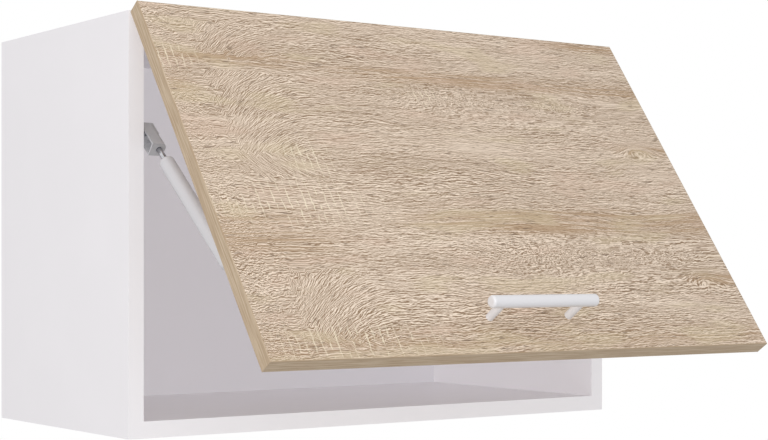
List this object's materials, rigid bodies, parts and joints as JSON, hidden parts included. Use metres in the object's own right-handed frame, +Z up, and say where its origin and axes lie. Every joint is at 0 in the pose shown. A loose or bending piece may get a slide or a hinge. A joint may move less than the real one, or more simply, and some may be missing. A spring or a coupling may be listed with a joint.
{
  "type": "lift up wall cabinet",
  "caption": "White kitchen wall cabinet with a lift-up door in rough-sawn oak decor, held open by gas struts and opened by a white bar handle; hangs on the wall.",
  "frame": {"origin": "wall plane (rear face of the back), at mid width and mid height of the carcass", "axes": "+X to the viewer's right, +Y into the wall, +Z up; the door is at -Y and is drawn 35.2 degrees open"},
  "size_m": [0.6, 0.5374, 0.4074],
  "materials": {
    "white_board": "white melamine-faced chipboard, fine satin grain",
    "white_edging": "white satin edge band",
    "hardboard": "thin hardboard, white lacquer inside, raw brown outside",
    "oak_decor": "rough-sawn oak decor, matt",
    "oak_edging": "oak decor edge band, matt",
    "white_handle": "satin white lacquer",
    "zinc_die_cast": "die-cast zinc alloy, dull",
    "zinc_steel": "bright zinc plate",
    "nickel_steel": "nickel plate",
    "beech": "plain beech",
    "white_plastic": "moulded white",
    "clear_bumper": "soft milky pad",
    "grey_plastic": "moulded grey",
    "white_tube": "glossy white enamel",
    "bright_steel": "bright hardened steel",
    "black_rubber": "black seal"
  },
  "bodies": {
    "carcass": {"back_nails": "zinc_steel", "back_panel": "hardboard", "bottom_panel": "white_board", "cam_locks": "zinc_die_cast", "carcass_edge_bands": "white_edging", "connecting_bolts": "zinc_steel", "hinge_top_screws": "zinc_steel", "left_hanger_hook": "zinc_steel", "left_hanger_housing": "white_plastic", "left_hanger_screws": "zinc_steel", "left_hinge_pin": "nickel_steel", "left_hinge_top_leaf": "nickel_steel", "left_side": "white_board", "left_strut_side_plate": "zinc_steel", "right_hanger_hook": "zinc_steel", "right_hanger_housing": "white_plastic", "right_hanger_screws": "zinc_steel", "right_hinge_pin": "nickel_steel", "right_hinge_top_leaf": "nickel_steel", "right_side": "white_board", "right_strut_side_plate": "zinc_steel", "strut_side_screws": "zinc_steel", "top_panel": "white_board", "wood_dowels": "beech"},
    "door": {"door_panel": "oak_decor", "door_edge_bands": "oak_edging", "door_bumpers": "clear_bumper", "handle_bar": "white_handle", "handle_posts": "white_handle", "handle_screws": "zinc_steel", "hinge_door_screws": "zinc_steel", "strut_door_screws": "zinc_steel", "left_hinge_door_leaf": "nickel_steel", "right_hinge_door_leaf": "nickel_steel", "left_strut_door_bracket": "zinc_steel", "right_strut_door_bracket": "zinc_steel", "left_strut_lower_ball": "bright_steel", "right_strut_lower_ball": "bright_steel"},
    "left_rod": {"left_strut_rod": "bright_steel", "left_strut_piston": "black_rubber", "left_strut_lower_socket": "grey_plastic"},
    "left_cylinder": {"left_strut_cylinder": "white_tube", "left_strut_gland": "black_rubber", "left_strut_neck": "bright_steel", "left_strut_upper_socket": "grey_plastic", "left_strut_upper_ball": "bright_steel"},
    "right_rod": {"right_strut_rod": "bright_steel", "right_strut_piston": "black_rubber", "right_strut_lower_socket": "grey_plastic"},
    "right_cylinder": {"right_strut_cylinder": "white_tube", "right_strut_gland": "black_rubber", "right_strut_neck": "bright_steel", "right_strut_upper_socket": "grey_plastic", "right_strut_upper_ball": "bright_steel"}
  },
  "joints": [
    {"name": "door_hinge", "type": "hinge", "parent": "carcass", "child": "door", "pos_m": [0, -0.2908, 0.1976], "axis": [-1, 0, 0], "range_deg": [-35.2, 39.8]},
    {"name": "left_rod_pivot", "type": "hinge", "parent": "door", "child": "left_rod", "pos_m": [-0.272, -0.48157, -0.08636], "axis": [-1, 0, 0], "range_deg": [-3, 3.3]},
    {"name": "left_strut_slide", "type": "slide", "parent": "left_rod", "child": "left_cylinder", "axis": [0, 0.7601, 0.6498], "range_m": [-0.0625, 0.07]},
    {"name": "right_rod_pivot", "type": "hinge", "parent": "door", "child": "right_rod", "pos_m": [0.272, -0.48157, -0.08636], "axis": [-1, 0, 0], "range_deg": [-3, 3.3]},
    {"name": "right_strut_slide", "type": "slide", "parent": "right_rod", "child": "right_cylinder", "axis": [0, 0.7601, 0.6498], "range_m": [-0.0625, 0.07]}
  ],
  "couplings": [
    {"joint": "left_rod_pivot", "follows": "door_hinge", "ratio": 0.08},
    {"joint": "left_strut_slide", "follows": "door_hinge", "m_per_rad": 0.1},
    {"joint": "right_rod_pivot", "follows": "door_hinge", "ratio": 0.08},
    {"joint": "right_strut_slide", "follows": "door_hinge", "m_per_rad": 0.1}
  ]
}
